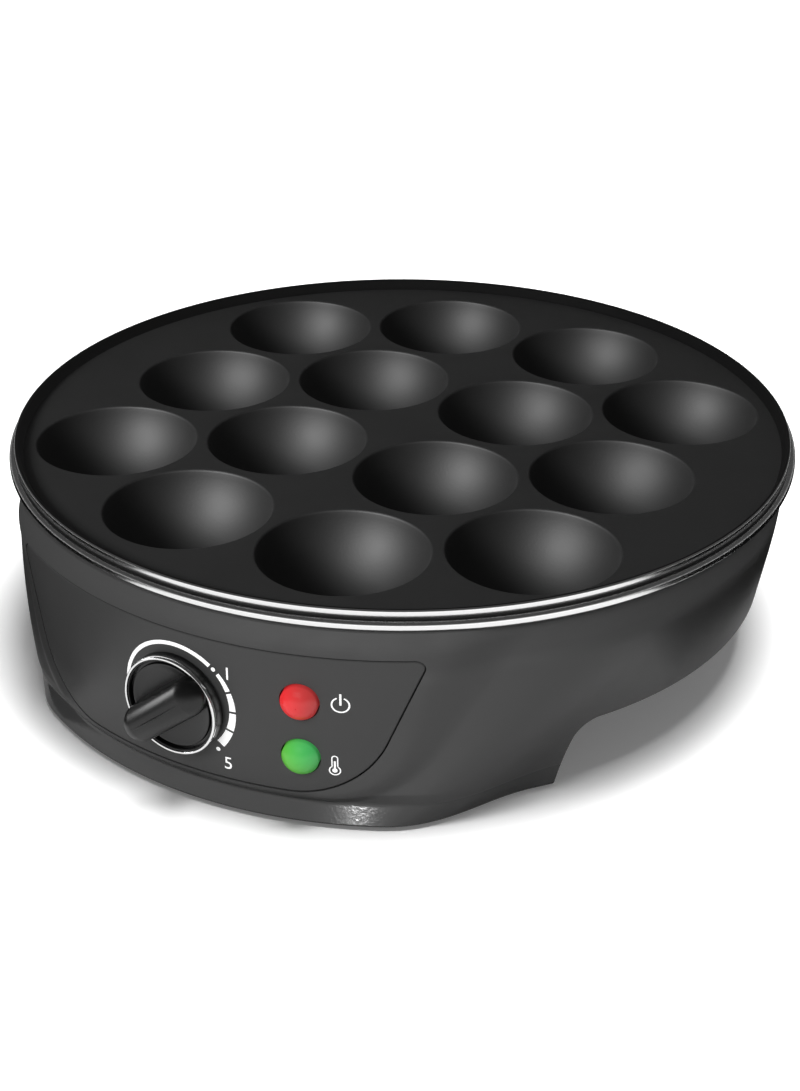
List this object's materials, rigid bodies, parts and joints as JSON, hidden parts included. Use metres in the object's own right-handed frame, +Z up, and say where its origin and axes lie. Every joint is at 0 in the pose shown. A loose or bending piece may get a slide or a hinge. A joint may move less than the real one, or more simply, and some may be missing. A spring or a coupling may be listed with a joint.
{
  "type": "takoyaki maker",
  "caption": "Round electric table-top cooker with half-round hollows in its plate, a raised front panel, a turning dial, signal lamps and finger arches in both sides.",
  "frame": {"origin": "centre of the outer box at the plane the feet stand on", "axes": "+Z up, -Y towards the dial and panel at the front, +X to the right seen from the front"},
  "size_m": [0.22, 0.2328, 0.061],
  "materials": {
    "plate_coat": "matt dark non-stick coat on cast aluminium",
    "seal_rubber": "smooth silicone",
    "bright_trim": "bright satin",
    "housing_shell": "satin dark grey, slightly metallic",
    "panel_shell": "satin dark grey",
    "cover_shell": "fine grain",
    "knob_black": "semi-gloss black",
    "chrome_ring": "polished",
    "spring_steel": "bright",
    "steel": "zinc plated",
    "bakelite": "moulded",
    "zinc_sheet": "pressed sheet",
    "copper": "bare copper",
    "element_sheath": "dark annealed sheath",
    "fuse_case": "plain",
    "inlet_plastic": "fine grain",
    "block_plastic": "moulded",
    "brass": "plain",
    "lens_red": "smooth red",
    "lens_green": "smooth green",
    "holder_plastic": "moulded",
    "neon_glass": "clear",
    "foot_rubber": "fine grain"
  },
  "bodies": {
    "cooker": {"cooking_plate": "plate_coat", "rim_seal": "seal_rubber", "trim_ring": "bright_trim", "housing": "housing_shell", "control_panel": "panel_shell", "base_cover": "cover_shell", "thermostat_body": "bakelite", "thermostat_bracket": "zinc_sheet", "thermostat_nut": "steel", "sensor_strip": "copper", "bracket_screws": "steel", "heating_element": "element_sheath", "heater_collars": "steel", "heater_pins": "steel", "heater_clamps": "zinc_sheet", "clamp_screws": "steel", "heat_shield": "zinc_sheet", "shield_screws": "steel", "thermal_fuse": "fuse_case", "fuse_clip": "spring_steel", "plate_screws": "steel", "cover_screws": "steel", "mains_inlet": "inlet_plastic", "terminal_block": "block_plastic", "block_poles": "brass", "power_lamp_lens": "lens_red", "power_lamp_holder": "holder_plastic", "power_neon": "neon_glass", "ready_lamp_lens": "lens_green", "ready_lamp_holder": "holder_plastic", "ready_neon": "neon_glass", "front_left_foot": "foot_rubber", "front_right_foot": "foot_rubber", "rear_left_foot": "foot_rubber", "rear_right_foot": "foot_rubber"},
    "dial": {"knob": "knob_black", "knob_ring": "chrome_ring", "knob_clip": "spring_steel", "thermostat_shaft": "steel"}
  },
  "joints": [
    {"name": "dial_turn", "type": "hinge", "parent": "cooker", "child": "dial", "pos_m": [0, -0.10589, 0.0292], "axis": [0, 1, 0], "range_deg": [-164, 84]}
  ]
}
